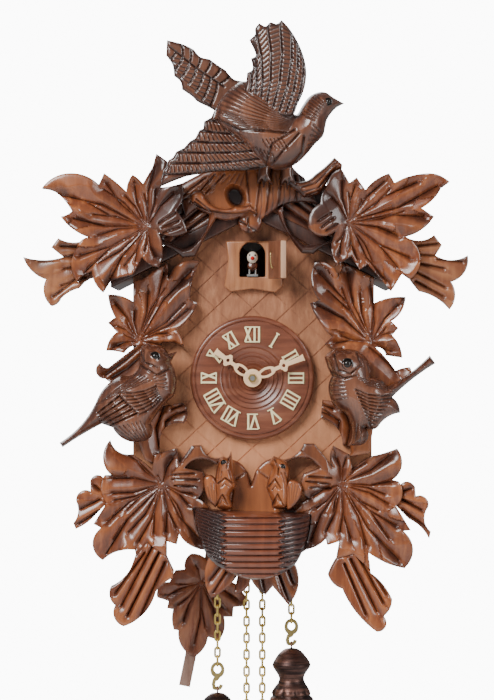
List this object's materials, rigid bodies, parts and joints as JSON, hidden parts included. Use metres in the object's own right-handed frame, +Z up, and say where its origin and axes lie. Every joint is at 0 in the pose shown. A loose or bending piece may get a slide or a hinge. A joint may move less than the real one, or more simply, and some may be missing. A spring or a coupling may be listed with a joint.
{
  "type": "cuckoo clock",
  "caption": "Carved wooden wall clock with a bird door, dial, nest with chicks, leaf carvings, large crown bird, leaf pendulum and cone weights on chains.",
  "frame": {"origin": "middle of the hanger hole, at the wall", "axes": "+X to the right seen from the front, -Y out of the wall towards the viewer, +Z up"},
  "size_m": [0.2843, 0.1574, 0.566],
  "materials": {
    "case_wood": "satin stained wood",
    "inner_wood": "plain wood",
    "leaf_wood": "glossy varnished carved wood",
    "bird_wood": "glossy dark carved wood",
    "dial_wood": "satin turned wood",
    "plaque_wood": "satin wood",
    "cream_plastic": "moulded plastic",
    "hand_wood": "pale peach hands",
    "brass": "polished brass",
    "steel": "plain steel",
    "chain_brass": "pale brass chain",
    "iron": "dark bronzed cast iron",
    "cuckoo_paint": "painted"
  },
  "bodies": {
    "case": {"back_rail": "inner_wood", "bottom_board": "case_wood", "chick_left": "bird_wood", "chick_right": "bird_wood", "crown_bird": "bird_wood", "crown_board": "leaf_wood", "crown_leaf_left": "leaf_wood", "crown_leaf_right": "leaf_wood", "crown_wing_left": "bird_wood", "crown_wing_right": "bird_wood", "dial": "dial_wood", "door_plaque": "plaque_wood", "front_panel": "case_wood", "gong": "steel", "hanger_plate": "steel", "lower_leaf_left": "leaf_wood", "lower_leaf_right": "leaf_wood", "nest": "bird_wood", "nest_board": "leaf_wood", "numerals": "cream_plastic", "pillars": "brass", "plate_back": "brass", "plate_front": "brass", "roof_left": "case_wood", "roof_right": "case_wood", "side_bird_left": "bird_wood", "side_bird_right": "bird_wood", "side_leaf_left": "leaf_wood", "side_leaf_right": "leaf_wood", "side_left": "case_wood", "side_right": "case_wood", "whistle_left": "inner_wood", "whistle_right": "inner_wood"},
    "hands_minute": {"minute_hand": "hand_wood", "hand_nut": "brass", "minute_arbor": "steel"},
    "hands_hour": {"hour_hand": "hand_wood", "hour_wheel": "brass"},
    "minute_wheel": {"minute_wheel": "brass"},
    "time_wheel": {"time_chain_wheel": "brass"},
    "strike_wheel": {"strike_chain_wheel": "brass"},
    "escape": {"escape_wheel": "brass"},
    "pendulum": {"pendulum_arbor": "steel", "pendulum_rod": "dial_wood", "pendulum_leaf": "dial_wood"},
    "time_drop": {"time_chain": "chain_brass", "time_hook": "chain_brass", "time_weight": "iron"},
    "time_pull": {"time_pull_chain": "chain_brass"},
    "strike_drop": {"strike_chain": "chain_brass", "strike_hook": "chain_brass", "strike_weight": "iron"},
    "strike_pull": {"strike_pull_chain": "chain_brass"},
    "bird": {"cuckoo": "cuckoo_paint", "cuckoo_slide": "steel"},
    "door": {"cuckoo_door": "plaque_wood"},
    "lid_left": {"bellows_lid_left": "inner_wood"},
    "lid_right": {"bellows_lid_right": "inner_wood"},
    "hammer": {"gong_hammer": "steel"},
    "rear": {"rear_cover": "inner_wood"}
  },
  "joints": [
    {"name": "minute_turn", "type": "hinge", "parent": "case", "child": "hands_minute", "pos_m": [0, -0.099, -0.095], "axis": [0, 1, 0], "continuous": true},
    {"name": "hour_turn", "type": "hinge", "parent": "case", "child": "hands_hour", "pos_m": [0, -0.097, -0.095], "axis": [0, 1, 0], "continuous": true},
    {"name": "minute_wheel_turn", "type": "hinge", "parent": "case", "child": "minute_wheel", "pos_m": [0, -0.074, -0.1075], "axis": [0, 1, 0], "continuous": true},
    {"name": "escape_turn", "type": "hinge", "parent": "case", "child": "escape", "pos_m": [0, -0.039, -0.062], "axis": [0, 1, 0], "continuous": true},
    {"name": "pendulum_swing", "type": "hinge", "parent": "case", "child": "pendulum", "pos_m": [0, -0.024, -0.077], "axis": [0, 1, 0], "range_deg": [-22.8, 0]},
    {"name": "time_weight_travel", "type": "slide", "parent": "case", "child": "time_drop", "axis": [0, 0, 1], "range_m": [-0.03, 0.03]},
    {"name": "time_pull_travel", "type": "slide", "parent": "case", "child": "time_pull", "axis": [0, 0, 1], "range_m": [-0.03, 0.03]},
    {"name": "time_wheel_turn", "type": "hinge", "parent": "case", "child": "time_wheel", "pos_m": [-0.0134, -0.05, -0.113], "axis": [0, 1, 0], "range_deg": [-180, 180]},
    {"name": "strike_weight_travel", "type": "slide", "parent": "case", "child": "strike_drop", "axis": [0, 0, 1], "range_m": [-0.03, 0.03]},
    {"name": "strike_pull_travel", "type": "slide", "parent": "case", "child": "strike_pull", "axis": [0, 0, 1], "range_m": [-0.03, 0.03]},
    {"name": "strike_wheel_turn", "type": "hinge", "parent": "case", "child": "strike_wheel", "pos_m": [0.0162, -0.05, -0.113], "axis": [0, 1, 0], "range_deg": [-180, 180]},
    {"name": "bird_slide", "type": "slide", "parent": "case", "child": "bird", "axis": [0, 1, 0], "range_m": [0, 0.014]},
    {"name": "door_turn", "type": "hinge", "parent": "case", "child": "door", "pos_m": [0.0134, -0.0974, -0.03], "axis": [0, 0, 1], "range_deg": [-115, 0]},
    {"name": "bellows_left", "type": "hinge", "parent": "case", "child": "lid_left", "pos_m": [-0.058, -0.041, -0.0728], "axis": [1, 0, 0], "range_deg": [-18, 0]},
    {"name": "bellows_right", "type": "hinge", "parent": "case", "child": "lid_right", "pos_m": [0.058, -0.041, -0.0728], "axis": [1, 0, 0], "range_deg": [-18, 0]},
    {"name": "hammer_turn", "type": "hinge", "parent": "case", "child": "hammer", "pos_m": [0.03, -0.0315, -0.101], "axis": [0, 1, 0], "range_deg": [0, 12]},
    {"name": "rear_cover_turn", "type": "hinge", "parent": "case", "child": "rear", "pos_m": [0.073, -0.002, -0.107], "axis": [0, 0, 1], "range_deg": [-110, 0]}
  ],
  "couplings": [
    {"joint": "hour_turn", "follows": "minute_turn", "ratio": 0.083333},
    {"joint": "minute_wheel_turn", "follows": "minute_turn", "ratio": -0.33333},
    {"joint": "time_pull_travel", "follows": "time_weight_travel", "ratio": -1},
    {"joint": "time_wheel_turn", "follows": "time_weight_travel", "rad_per_m": 104.17},
    {"joint": "strike_pull_travel", "follows": "strike_weight_travel", "ratio": -1},
    {"joint": "strike_wheel_turn", "follows": "strike_weight_travel", "rad_per_m": -104.17},
    {"joint": "door_turn", "follows": "bird_slide", "rad_per_m": -143.37}
  ]
}
